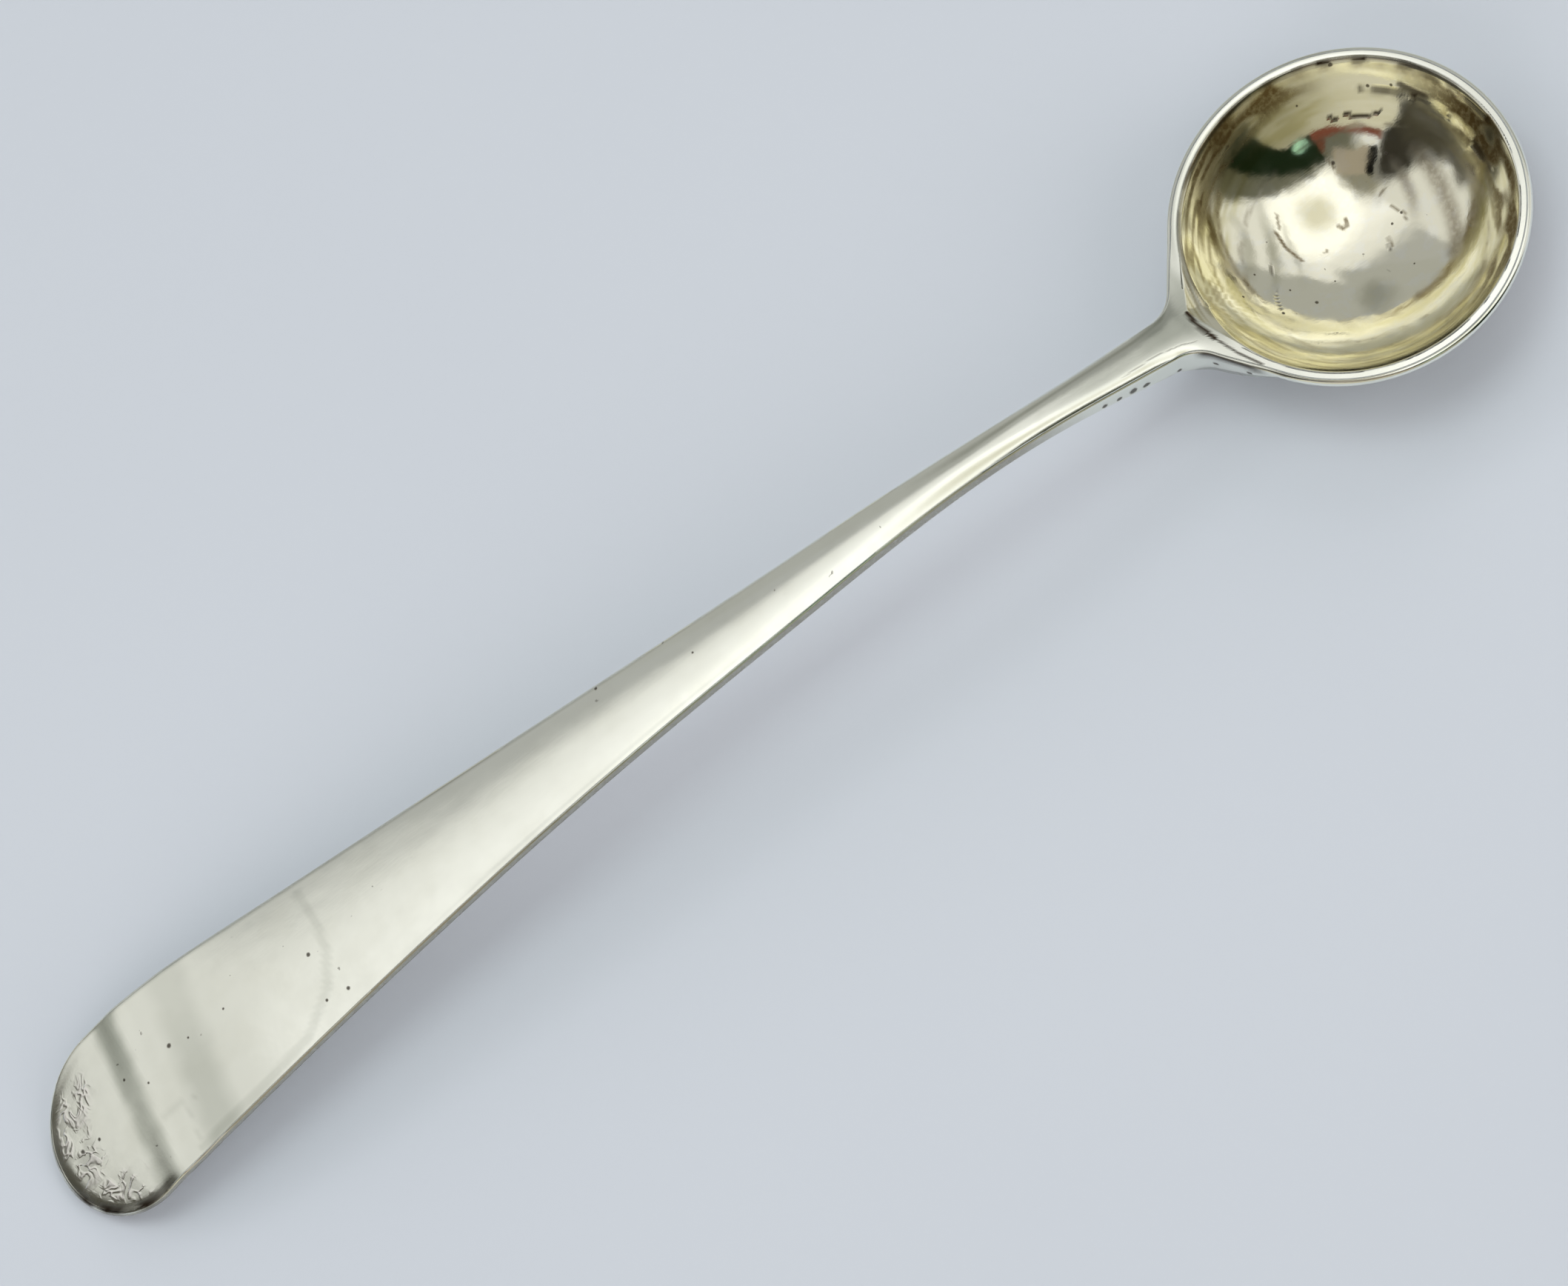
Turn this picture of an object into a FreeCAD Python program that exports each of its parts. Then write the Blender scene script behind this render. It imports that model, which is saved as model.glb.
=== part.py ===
# Salt spoon: one forged piece of silver with a round bowl, a slim arched stem and a broad rounded handle end that
# turns down to the table. Millimetres, +X from the handle end to the bowl, +Z up. The origin is on the table, halfway
# along the spoon. Places on the handle are measured back from the middle of the bowl.
import FreeCAD, Part
import math
import os
import Sketcher

SIZES = {
    "overall_length": 101.9,
    # bowl
    "bowl_diameter": 20.5,
    "rim_height": 6.8,
    "lip_thickness": 0.7,
    "lip_rounding": 0.3,
    "bottom_thickness": 1.05,
    "point_reach": 1.0,
    "point_tuck": 0.3,
    # flats that years of standing on the table have worn under the bowl and the end of the handle
    "rest_wear": 0.05,
    # neck, where the stem is narrowest, and the shoulders that widen it into the rim
    "neck_back": 19.5,
    "neck_width": 2.25,
    "neck_height": 8.2,
    "neck_thickness": 2.3,
    "neck_side": 1.25,
    "neck_crown": 0.35,
    "shoulder_angle": 34.0,
    "shoulder_radius": 2.2,
    "shoulder_width": 2.8,
    "shoulder_rise": 0.2,
    "shoulder_side": 1.75,
    "root_thickness": 2.6,
    "root_side": 2.3,
    "root_crown": 0.08,
    # heel, the drop of metal under the bowl
    "heel_width": 6.4,
    "heel_length": 5.0,
    "heel_proud": 0.45,
    "heel_tuck": 0.05,
    # handle
    "end_width": 11.0,
    "end_easing": 0.25,
    "end_height": 0.7,
    "end_thickness": 0.8,
    "end_side": 0.65,
    "end_crown": 0.2,
    "end_slope_angle": 30.0,
    "end_overrun": 1.5,
    # full width and top edge height of the handle at even steps from the neck to the end
    "waist_width": 2.5,
    "waist_height": 9.2,
    "arch_width": 3.4,
    "arch_height": 8.95,
    "middle_width": 4.45,
    "middle_height": 8.6,
    "spread_width": 5.75,
    "spread_height": 8.05,
    "broad_width": 7.35,
    "broad_height": 7.15,
    "fore_width": 9.15,
    "fore_height": 6.05,
    "bend_width": 10.8,
    "bend_height": 4.4,
}
HANDLE_STATIONS = ["waist", "arch", "middle", "spread", "broad", "fore", "bend"]

# Where the sections of the shoulders lie, as shares of the way from the plain stem to the rim.
SHOULDER_SHARES = [0.0, 0.2, 0.4, 0.6, 0.8, 1.0]

FORMULAS = {
    "bowl_radius": "bowl_diameter / 2",
    "bowl_x": "overall_length / 2 - bowl_radius",
    "handle_reach": "overall_length - bowl_radius",
    "inner_radius": "bowl_radius - lip_thickness",
    "bowl_depth": "rim_height - bottom_thickness",
    "wall_height": "rim_height - lip_rounding",
    # the outside of the bowl: its lowest point would lie rest_wear under the table
    "outer_rise": "wall_height + rest_wear",
    "outer_sphere": "(bowl_radius ^ 2 + outer_rise ^ 2) / (2 * outer_rise)",
    "outer_centre": "outer_sphere - rest_wear",
    "rim_flat_radius": "bowl_radius - lip_rounding",
    "inner_sphere": "(inner_radius ^ 2 + bowl_depth ^ 2) / (2 * bowl_depth)",
    # the shoulders' straight flanks run out inside the rounding of the rim
    "flank_radius": "bowl_radius - lip_rounding / 4",
    "root_height": "rim_height - lip_rounding * 0.45",
    "flank_side": "lip_rounding * 0.6",
    "shoulder_y": "shoulder_width / 2 + shoulder_radius",
    "shoulder_back": "(flank_radius + shoulder_radius - shoulder_y * sin(shoulder_angle)) / cos(shoulder_angle)",
    "shoulder_turn": "shoulder_back - shoulder_radius * cos(shoulder_angle)",
    "shoulder_end": "flank_radius * cos(shoulder_angle)",
    "shoulder_height": "rim_height + shoulder_rise",
    "root_bottom": "shoulder_height - root_thickness",
    "heel_bottom": "outer_centre - sqrt(outer_sphere ^ 2 - shoulder_end ^ 2) - heel_proud",
    "heel_tip_back": "shoulder_end - heel_length",
    "heel_middle_back": "shoulder_end - heel_length / 2",
    "blade_width": "end_width - end_easing",
    "end_radius": "end_width / 2",
    "end_centre": "end_radius - overall_length / 2",
    "end_back": "-end_centre",
    "trim_reach": "end_radius + end_overrun + 1",
    "table_length": "overall_length + 2",
    "table_width": "bowl_diameter + 2",
    "sphere_top": "bottom_thickness + inner_sphere",
    "point_x": "bowl_x - inner_radius - point_reach",
    "point_sphere": "inner_sphere - point_tuck",
}


def station_formulas(name, back, width, height, side, bottom, crown):
    """Names the place, the top edge, the side face and the rounding of front and back of one cross-section."""
    FORMULAS[name + "_at"] = f"bowl_x - ({back})"
    FORMULAS[name + "_wide"] = width
    FORMULAS[name + "_top"] = height
    FORMULAS[name + "_side_depth"] = side
    FORMULAS[name + "_bottom"] = bottom
    FORMULAS[name + "_crown_radius"] = f"({name}_wide ^ 2 / 4 + ({crown}) ^ 2) / (2 * ({crown}))"
    FORMULAS[name + "_sag"] = f"{name}_top - {name}_side_depth - {name}_bottom"
    FORMULAS[name + "_back_radius"] = f"({name}_wide ^ 2 / 4 + {name}_sag ^ 2) / (2 * {name}_sag)"


def handle_station(name, share, width, height, overrun="0"):
    """A section of the handle, share of the way from the neck to the end."""
    thickness = f"(neck_thickness + (end_thickness - neck_thickness) * {share})"
    side = f"neck_side + (end_side - neck_side) * {share}"
    crown = f"neck_crown + (end_crown - neck_crown) * {share}"
    back = f"neck_back + (handle_reach - neck_back) * {share} + {overrun}"
    station_formulas(name, back, width, height, side, f"{height} - {thickness}", crown)


def root_station(name, share):
    """A section of the shoulders, share of the way from the plain stem to the rim."""
    back = f"(shoulder_back + (shoulder_end - shoulder_back) * {share})"
    toward_neck = f"(max(0; {back} - bowl_radius) / (shoulder_back - bowl_radius))"
    height = f"root_height + (shoulder_height - root_height) * {toward_neck} ^ 1.5"
    between = f"(shoulder_side + (flank_side - shoulder_side) * {share})"
    side = f"{between} + (4 * root_side - 2 * shoulder_side - 2 * flank_side) * {share * (1 - share)}"
    bottom = f"root_bottom + (heel_bottom - root_bottom) * {share}"
    crown = f"root_crown + (neck_crown - root_crown) * {toward_neck}"
    in_arc = f"max({back}; shoulder_turn)"
    arc = f"shoulder_y - sqrt(shoulder_radius ^ 2 - (shoulder_back - {in_arc}) ^ 2)"
    flank = f"max(0; shoulder_turn - {back}) * cos(shoulder_angle) / sin(shoulder_angle)"
    station_formulas(name, back, f"2 * ({arc} + {flank})", height, side, bottom, crown)


def heel_station(name, back, width, proud):
    """A section of the heel, which stands proud of the bowl's round underside and has its sides inside the wall."""
    FORMULAS[name + "_wide"] = width
    beside = f"outer_centre - sqrt(outer_sphere ^ 2 - {back} ^ 2 - {name}_wide ^ 2 / 4) + heel_tuck"
    under = f"outer_centre - sqrt(outer_sphere ^ 2 - {back} ^ 2)"
    station_formulas(name, back, width, "root_height", f"root_height - ({beside})", f"{under} - {proud}",
                     "root_crown")


handle_station("neck", 0, "neck_width", "neck_height")
steps = len(HANDLE_STATIONS) + 1
for number, name in enumerate(HANDLE_STATIONS, start=1):
    handle_station(name, number / steps, name + "_width", name + "_height")
handle_station("end", 1, "blade_width", "end_height")
handle_station("overrun", 1, "blade_width", "end_height - end_overrun * tan(end_slope_angle)", "end_overrun")
for number, share in enumerate(SHOULDER_SHARES, start=1):
    root_station(f"shoulder_{number}", share)
heel_station("heel_middle", "heel_middle_back", "heel_width", "heel_proud")
heel_station("heel_tip", "heel_tip_back", "heel_width * 0.35", "-heel_tuck")

HANDLE_SECTIONS = ["shoulder_1", "neck", *HANDLE_STATIONS, "end", "overrun"]
SHOULDER_SECTIONS = [f"shoulder_{number}" for number in range(1, len(SHOULDER_SHARES) + 1)]
HEEL_SECTIONS = [SHOULDER_SECTIONS[-1], "heel_middle", "heel_tip"]

document = FreeCAD.newDocument("SaltSpoon")
sheet = document.addObject("Spreadsheet::Sheet", "Sizes")
for row, (alias, value) in enumerate([*SIZES.items(), *FORMULAS.items()], start=1):
    sheet.set(f"A{row}", alias)
    sheet.set(f"B{row}", str(value) if alias in SIZES else "=" + value)
    sheet.setAlias(f"B{row}", alias)
document.recompute()


def size(alias):
    """The value of a named cell in millimetres."""
    return float(getattr(sheet.get(alias), "Value", sheet.get(alias)))


body = document.addObject("PartDesign::Body", "Body")
body.Label = "salt_spoon"


def plane_of(role):
    """One of the body's own planes."""
    return [feature for feature in body.Origin.OriginFeatures if feature.Role == role][0]


def sketch_on(role, name):
    """An empty sketch on one of the body's own planes. Number -1 in it is its origin and horizontal axis, and -2
    its vertical axis."""
    sketch = body.newObject("Sketcher::SketchObject", name)
    sketch.AttachmentSupport = [(plane_of(role), "")]
    sketch.MapMode = "FlatFace"
    return sketch


def point(x, y):
    return FreeCAD.Vector(x, y, 0)


def bind(sketch, name, kind, places, formula):
    """Adds a named dimension to a sketch and ties it to the sheet."""
    index = sketch.addConstraint(Sketcher.Constraint(kind, *places, size(formula)))
    sketch.renameConstraint(index, name)
    sketch.setExpression(f"Constraints.{name}", f"Sizes.{formula}")


def section_sketch(name):
    """A cross-section of the stem: crowned front, upright sides and a rounded back."""
    sketch = sketch_on("YZ_Plane", "Section_" + name)
    sketch.setExpression("AttachmentOffset.Base.z", f"Sizes.{name}_at")
    half, top = size(name + "_wide") / 2, size(name + "_top")
    side, bottom = top - size(name + "_side_depth"), size(name + "_bottom")
    radius = size(name + "_crown_radius")
    rise = radius - math.sqrt(radius ** 2 - half ** 2)
    sketch.addGeometry(Part.Arc(point(half, top), point(0, top + rise), point(-half, top)))
    sketch.addGeometry(Part.LineSegment(point(-half, top), point(-half, side)))
    sketch.addGeometry(Part.Arc(point(-half, side), point(0, bottom), point(half, side)))
    sketch.addGeometry(Part.LineSegment(point(half, side), point(half, top)))
    closed(sketch, 4)
    sketch.addConstraint(Sketcher.Constraint("Symmetric", 0, 1, 0, 2, -2))
    sketch.addConstraint(Sketcher.Constraint("Vertical", 1))
    sketch.addConstraint(Sketcher.Constraint("Vertical", 3))
    sketch.addConstraint(Sketcher.Constraint("Horizontal", 2, 1, 2, 2))
    bind(sketch, "wide", "DistanceX", (0, 2, 0, 1), name + "_wide")
    bind(sketch, "top", "DistanceY", (-1, 1, 0, 1), name + "_top")
    bind(sketch, "side_depth", "DistanceY", (1, 2, 1, 1), name + "_side_depth")
    bind(sketch, "crown", "Radius", (0,), name + "_crown_radius")
    bind(sketch, "back", "Radius", (2,), name + "_back_radius")
    return sketch


def closed(sketch, count):
    """Joins the end of each line or arc to the start of the next, and the last to the first."""
    for first in range(count):
        sketch.addConstraint(Sketcher.Constraint("Coincident", first, 2, (first + 1) % count, 1))


def loft(name, sections):
    feature = body.newObject("PartDesign::AdditiveLoft", name)
    feature.Profile = (sections[0], [""])
    feature.Sections = [(section, [""]) for section in sections[1:]]
    feature.Ruled = False
    document.recompute()
    return feature


def bowl_blank():
    """The solid outside of the bowl: a cap of the outer sphere, with a rounded rim and a flat top."""
    sketch = sketch_on("XZ_Plane", "BowlOutline")
    middle, rim, radius, sphere = size("bowl_x"), size("rim_height"), size("bowl_radius"), size("outer_sphere")
    wall, rounding, centre = size("wall_height"), size("lip_rounding"), size("outer_centre")
    lowest = centre - sphere
    half_angle = math.asin(radius / sphere) / 2
    on_wall = point(middle + sphere * math.sin(half_angle), centre - sphere * math.cos(half_angle))
    diagonal = rounding * math.sqrt(0.5)
    on_rim = point(middle + radius - rounding + diagonal, wall + diagonal)
    sketch.addGeometry(Part.Arc(point(middle, lowest), on_wall, point(middle + radius, wall)))
    sketch.addGeometry(Part.Arc(point(middle + radius, wall), on_rim, point(middle + radius - rounding, rim)))
    sketch.addGeometry(Part.LineSegment(point(middle + radius - rounding, rim), point(middle, rim)))
    sketch.addGeometry(Part.LineSegment(point(middle, rim), point(middle, lowest)))
    closed(sketch, 4)
    sketch.addConstraint(Sketcher.Constraint("Horizontal", 2))
    sketch.addConstraint(Sketcher.Constraint("Vertical", 3))
    sketch.addConstraint(Sketcher.Constraint("Vertical", 1, 3, 1, 2))
    sketch.addConstraint(Sketcher.Constraint("Horizontal", 1, 3, 1, 1))
    bind(sketch, "middle", "DistanceX", (-1, 1, 0, 1), "bowl_x")
    bind(sketch, "wear", "DistanceY", (0, 1, -1, 1), "rest_wear")
    bind(sketch, "radius", "DistanceX", (0, 1, 0, 2), "bowl_radius")
    bind(sketch, "wall", "DistanceY", (-1, 1, 0, 2), "wall_height")
    bind(sketch, "flat", "DistanceX", (2, 2, 2, 1), "rim_flat_radius")
    bind(sketch, "sphere", "Radius", (0,), "outer_sphere")
    blank = body.newObject("PartDesign::Revolution", "BowlBlank")
    blank.Profile = (sketch, [""])
    blank.ReferenceAxis = (sketch, ["Edge4"])
    blank.Angle = 360
    document.recompute()
    return blank


def round_end():
    """Trims the end of the handle to a half circle as wide as the end, seen from above."""
    sketch = sketch_on("XY_Plane", "EndTrim")
    middle, radius, reach = size("end_centre"), size("end_radius"), size("trim_reach")
    sketch.addGeometry(Part.Arc(point(middle, radius), point(middle - radius, 0), point(middle, -radius)))
    corners = [point(middle, -radius), point(middle, -reach), point(middle - reach, -reach),
               point(middle - reach, reach), point(middle, reach), point(middle, radius)]
    for start, end in zip(corners, corners[1:]):
        sketch.addGeometry(Part.LineSegment(start, end))
    closed(sketch, 6)
    for line, kind in ((1, "Vertical"), (2, "Horizontal"), (3, "Vertical"), (4, "Horizontal"), (5, "Vertical")):
        sketch.addConstraint(Sketcher.Constraint(kind, line))
    sketch.addConstraint(Sketcher.Constraint("PointOnObject", 0, 3, -1))
    sketch.addConstraint(Sketcher.Constraint("Vertical", 0, 3, 0, 1))
    sketch.addConstraint(Sketcher.Constraint("Vertical", 0, 3, 0, 2))
    bind(sketch, "middle", "DistanceX", (0, 3, -1, 1), "end_back")
    bind(sketch, "radius", "Radius", (0,), "end_radius")
    bind(sketch, "reach", "DistanceX", (2, 2, 2, 1), "trim_reach")
    bind(sketch, "below", "DistanceY", (1, 2, 0, 3), "trim_reach")
    bind(sketch, "above", "DistanceY", (0, 3, 4, 2), "trim_reach")
    trim = body.newObject("PartDesign::Pocket", "RoundEnd")
    trim.Profile = (sketch, [""])
    trim.Type = "ThroughAll"
    trim.Midplane = True
    document.recompute()
    return trim


def rest_flats():
    """Cuts off what would reach below the table, which leaves the two small flats the spoon stands on."""
    sketch = sketch_on("XY_Plane", "Table")
    reach, side = size("table_length") / 2, size("table_width") / 2
    corners = [point(-reach, -side), point(reach, -side), point(reach, side), point(-reach, side)]
    for start, end in zip(corners, corners[1:] + corners[:1]):
        sketch.addGeometry(Part.LineSegment(start, end))
    closed(sketch, 4)
    for line, kind in ((0, "Horizontal"), (1, "Vertical"), (2, "Horizontal"), (3, "Vertical")):
        sketch.addConstraint(Sketcher.Constraint(kind, line))
    sketch.addConstraint(Sketcher.Constraint("Symmetric", 0, 1, 1, 2, -1, 1))
    bind(sketch, "length", "DistanceX", (0, 1, 0, 2), "table_length")
    bind(sketch, "width", "DistanceY", (1, 1, 1, 2), "table_width")
    flats = body.newObject("PartDesign::Pocket", "RestFlats")
    flats.Profile = (sketch, [""])
    flats.setExpression("Length", "Sizes.neck_height")
    document.recompute()
    return flats


def hollow():
    """The round hollow of the bowl: a sphere that meets the rim a lip's width inside its edge."""
    ball = body.newObject("PartDesign::SubtractiveSphere", "Hollow")
    ball.setExpression("Radius", "Sizes.inner_sphere")
    ball.AttachmentSupport = [(plane_of("XY_Plane"), "")]
    ball.MapMode = "FlatFace"
    ball.setExpression("AttachmentOffset.Base.x", "Sizes.bowl_x")
    ball.setExpression("AttachmentOffset.Base.z", "Sizes.sphere_top")
    document.recompute()
    return ball


def lip_point():
    """The hollow's point toward the stem: a cone that touches the sphere all round, with its tip on the rim."""
    sketch = sketch_on("XZ_Plane", "PointOutline")
    sphere = size("point_sphere")
    tip = point(size("point_x"), size("rim_height"))
    centre = point(size("bowl_x"), size("sphere_top"))
    along = centre - tip
    lean = math.asin(sphere / along.Length)
    steepness = math.atan2(along.y, along.x) - lean
    edge = math.sqrt(along.Length ** 2 - sphere ** 2)
    touch = tip + point(edge * math.cos(steepness), edge * math.sin(steepness))
    sketch.addGeometry(Part.LineSegment(tip, touch))
    sketch.addGeometry(Part.LineSegment(touch, centre))
    sketch.addGeometry(Part.LineSegment(centre, tip))
    closed(sketch, 3)
    sketch.addConstraint(Sketcher.Constraint("Perpendicular", 0, 1))
    bind(sketch, "tip_x", "DistanceX", (-1, 1, 0, 1), "point_x")
    bind(sketch, "tip_z", "DistanceY", (-1, 1, 0, 1), "rim_height")
    bind(sketch, "middle", "DistanceX", (-1, 1, 2, 1), "bowl_x")
    bind(sketch, "top", "DistanceY", (-1, 1, 2, 1), "sphere_top")
    bind(sketch, "sphere", "Distance", (1,), "point_sphere")
    groove = body.newObject("PartDesign::Groove", "LipPoint")
    groove.Profile = (sketch, [""])
    groove.ReferenceAxis = (sketch, ["Edge3"])
    groove.Angle = 360
    document.recompute()
    return groove


def check_cut(feature, before):
    """Stops when a cut has taken nothing away or has broken the solid."""
    if not feature.Shape.Volume < before:
        raise RuntimeError(f"{feature.Name} cuts nothing")
    return feature.Shape.Volume


sections = {name: section_sketch(name)
            for name in dict.fromkeys(HANDLE_SECTIONS + SHOULDER_SECTIONS + HEEL_SECTIONS)}
bowl_blank()
loft("Handle", [sections[name] for name in HANDLE_SECTIONS])
loft("Shoulders", [sections[name] for name in SHOULDER_SECTIONS])
heel = loft("Heel", [sections[name] for name in HEEL_SECTIONS])
volume = heel.Shape.Volume
for cut in (round_end, rest_flats, hollow, lip_point):
    volume = check_cut(cut(), volume)

for item in document.Objects:
    if {"Invalid", "Error"} & set(item.State):
        raise RuntimeError(f"{item.Name} failed: {item.State}")
spoon = body.Shape
if spoon.isNull() or not spoon.isValid() or len(spoon.Solids) != 1:
    raise RuntimeError("the spoon isn't one valid solid")

os.makedirs("parts", exist_ok=True)
spoon.exportStep(f"parts/{body.Label}.step")
box = spoon.optimalBoundingBox(False)
balance = spoon.Solids[0].CenterOfMass
print(f"{body.Label}: {box.XLength:.2f} x {box.YLength:.2f} x {box.ZLength:.2f} mm, lowest {box.ZMin:.3f}, "
      f"volume {spoon.Volume:.1f} mm3, balance point x {balance.x:.2f} z {balance.z:.2f}")
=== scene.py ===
import math
import bpy
import numpy as np
from mathutils import Matrix, Vector


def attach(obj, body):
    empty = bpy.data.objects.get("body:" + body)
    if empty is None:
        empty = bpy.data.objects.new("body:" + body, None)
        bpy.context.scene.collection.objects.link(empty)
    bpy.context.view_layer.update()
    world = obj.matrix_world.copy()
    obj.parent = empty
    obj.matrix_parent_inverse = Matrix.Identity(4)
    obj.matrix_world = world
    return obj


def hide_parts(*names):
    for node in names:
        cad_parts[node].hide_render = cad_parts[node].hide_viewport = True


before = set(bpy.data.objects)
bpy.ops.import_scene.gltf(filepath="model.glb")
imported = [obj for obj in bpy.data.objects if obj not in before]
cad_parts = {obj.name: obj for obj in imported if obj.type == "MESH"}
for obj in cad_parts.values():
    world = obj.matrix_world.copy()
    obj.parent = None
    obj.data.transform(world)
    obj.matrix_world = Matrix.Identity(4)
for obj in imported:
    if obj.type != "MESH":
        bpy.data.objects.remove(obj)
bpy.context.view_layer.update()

# The spoon's sizes in millimetres. "Back" is the distance from the middle of the bowl toward the handle's
# end, and y goes across, from the near side to the far side of the picture.
MM = 0.001
LENGTH = 101.9
BOWL_RADIUS = 10.25
BOWL_X = LENGTH / 2 - BOWL_RADIUS
REACH = LENGTH - BOWL_RADIUS
RIM_HEIGHT = 6.8
LIP_ROUNDING = 0.3
LIP_WIDTH = 0.7
LIP_MIDDLE = 9.95
LIP_CROWN = 0.07
LIP_TILT = 0.1
REST_WEAR = 0.05
OUTER_RISE = RIM_HEIGHT - LIP_ROUNDING + REST_WEAR
OUTER_SPHERE = (BOWL_RADIUS ** 2 + OUTER_RISE ** 2) / (2 * OUTER_RISE)
OUTER_CENTRE = OUTER_SPHERE - REST_WEAR
BOTTOM_THICKNESS = 1.05
HOLLOW_RADIUS = BOWL_RADIUS - LIP_WIDTH
HOLLOW_DEPTH = RIM_HEIGHT - BOTTOM_THICKNESS
HOLLOW_SPHERE = (HOLLOW_RADIUS ** 2 + HOLLOW_DEPTH ** 2) / (2 * HOLLOW_DEPTH)
# The hollow runs out to a point on the stem's side, a little to the left of the middle line.
POINT_BACK = 10.5
POINT_TURN = math.radians(3.6)
POINT_DISH = 0.35
# shoulders
SHOULDER_ANGLE = math.radians(34.0)
SHOULDER_RADIUS = 2.2
SHOULDER_HALF = 1.4
SHOULDER_Y = SHOULDER_HALF + SHOULDER_RADIUS
SHOULDER_BACK = ((BOWL_RADIUS + SHOULDER_RADIUS - SHOULDER_Y * math.sin(SHOULDER_ANGLE))
                 / math.cos(SHOULDER_ANGLE))
SHOULDER_TURN = SHOULDER_BACK - SHOULDER_RADIUS * math.cos(SHOULDER_ANGLE)
SHOULDER_END = BOWL_RADIUS * math.cos(SHOULDER_ANGLE)
HEEL_BACK = 5.93
HEEL_PROUD = 0.45
ROOT_BOTTOM = 4.4
# handle
NECK_BACK = 19.5
END_RADIUS = 5.5
END_MIDDLE = REACH - END_RADIUS
EDGE = 0.16
BACK_EDGE = 0.35
LIP_BACK_EDGE = 0.06
LIP_SIDE = 0.32
END_ROLL = 0.14
END_ROLL_WIDTH = 1.05
FOLD_HEIGHT = 0.09
STATION_BACK = np.linspace(NECK_BACK, REACH, 9)
STATION_WIDTH = [2.25, 2.5, 3.4, 4.45, 5.75, 7.35, 9.15, 10.8, 10.85]
STATION_HEIGHT = [8.2, 9.2, 8.95, 8.6, 8.05, 7.15, 6.05, 4.4, 0.7]
STATION_THICKNESS = np.linspace(2.3, 0.8, 9)
STATION_SIDE = np.linspace(0.75, 0.36, 9)


def curve(places, values):
    """The smooth curve through the values: a natural cubic spline, straight beyond its ends."""
    x, y = np.asarray(places, float), np.asarray(values, float)
    h, slope = np.diff(x), np.diff(y) / np.diff(x)
    count = len(x)
    system, right = np.eye(count), np.zeros(count)
    for i in range(1, count - 1):
        system[i, i - 1:i + 2] = h[i - 1], 2 * (h[i - 1] + h[i]), h[i]
        right[i] = 6 * (slope[i] - slope[i - 1])
    bend = np.linalg.solve(system, right)

    def at(place):
        p = np.asarray(place, float)
        i = np.clip(np.searchsorted(x, p) - 1, 0, count - 2)
        inside = np.clip(p, x[0], x[-1])
        a, b = (x[i + 1] - inside) / h[i], (inside - x[i]) / h[i]
        value = a * y[i] + b * y[i + 1]
        value += ((a ** 3 - a) * bend[i] + (b ** 3 - b) * bend[i + 1]) * h[i] ** 2 / 6
        first = slope[0] - bend[1] * h[0] / 6
        last = slope[-1] + bend[-2] * h[-1] / 6
        before = np.where(p < x[0], (p - x[0]) * first, 0)
        after = np.where(p > x[-1], (p - x[-1]) * last, 0)
        return value + before + after
    return at


def smooth_step(low, high, value):
    t = np.clip((value - low) / (high - low), 0, 1)
    return t * t * (3 - 2 * t)


def soft_min(a, b, blend):
    """The lower of two heights, rounded over where they meet."""
    h = np.clip(0.5 + 0.5 * (b - a) / blend, 0, 1)
    return b * (1 - h) + a * h - blend * h * (1 - h)


stem_half = curve([SHOULDER_BACK, *STATION_BACK], [SHOULDER_HALF, *[w / 2 for w in STATION_WIDTH]])
stem_top = curve([8.6, 10.2, SHOULDER_BACK, *STATION_BACK], [6.79, 6.79, 7.0, *STATION_HEIGHT])
stem_bottom = curve([SHOULDER_BACK, *STATION_BACK],
                    [ROOT_BOTTOM, *(np.array(STATION_HEIGHT) - STATION_THICKNESS)])
stem_side = curve([SHOULDER_BACK, *STATION_BACK], [1.6, *STATION_SIDE])


def outside_sphere(r):
    """Height of the bowl's round underside at a distance from its middle."""
    near = np.minimum(np.abs(r), 10.9)
    return OUTER_CENTRE - np.sqrt(OUTER_SPHERE ** 2 - near ** 2) + (np.abs(r) - near) * 4


def heel_half(back):
    return np.interp(back, [2.4, 3.43, 4.7, HEEL_BACK, SHOULDER_END], [0.6, 1.1, 2.25, 3.2, 5.69])


def heel_proud(back):
    """How far the heel stands out of the bowl's round underside."""
    return np.interp(back, [0.0, 2.4, 3.43, 4.7, HEEL_BACK], [-2.0, -0.3, -0.05, 0.26, HEEL_PROUD])


def flare_half(back):
    """Half the width of the shoulders, from the plain stem to the rim."""
    in_arc = np.maximum(back, SHOULDER_TURN)
    arc = SHOULDER_Y - np.sqrt(np.maximum(SHOULDER_RADIUS ** 2 - (SHOULDER_BACK - in_arc) ** 2, 0))
    return arc + np.maximum(0, SHOULDER_TURN - back) / math.tan(SHOULDER_ANGLE)


def half_width(back):
    back = np.asarray(back, float)
    stem = stem_half(np.maximum(back, SHOULDER_BACK))
    flare = flare_half(np.clip(back, SHOULDER_END, SHOULDER_BACK))
    return np.where(back >= SHOULDER_BACK, stem, flare)


def side_depth(back):
    share = np.clip((SHOULDER_BACK - back) / (SHOULDER_BACK - SHOULDER_END), 0, 1)
    root = 1.75 + (0.05 - 1.75) * share + (4 * 2.3 - 2 * 1.75 - 2 * 0.05) * share * (1 - share)
    return np.where(back >= SHOULDER_BACK, stem_side(np.maximum(back, SHOULDER_BACK)), root)


def crown(back):
    """How far the front of the stem stands above its edges in the middle."""
    along = np.clip((back - NECK_BACK) / (REACH - NECK_BACK), 0, 1)
    return (0.35 - 0.15 * along) * smooth_step(9.6, 14.0, back)


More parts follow.
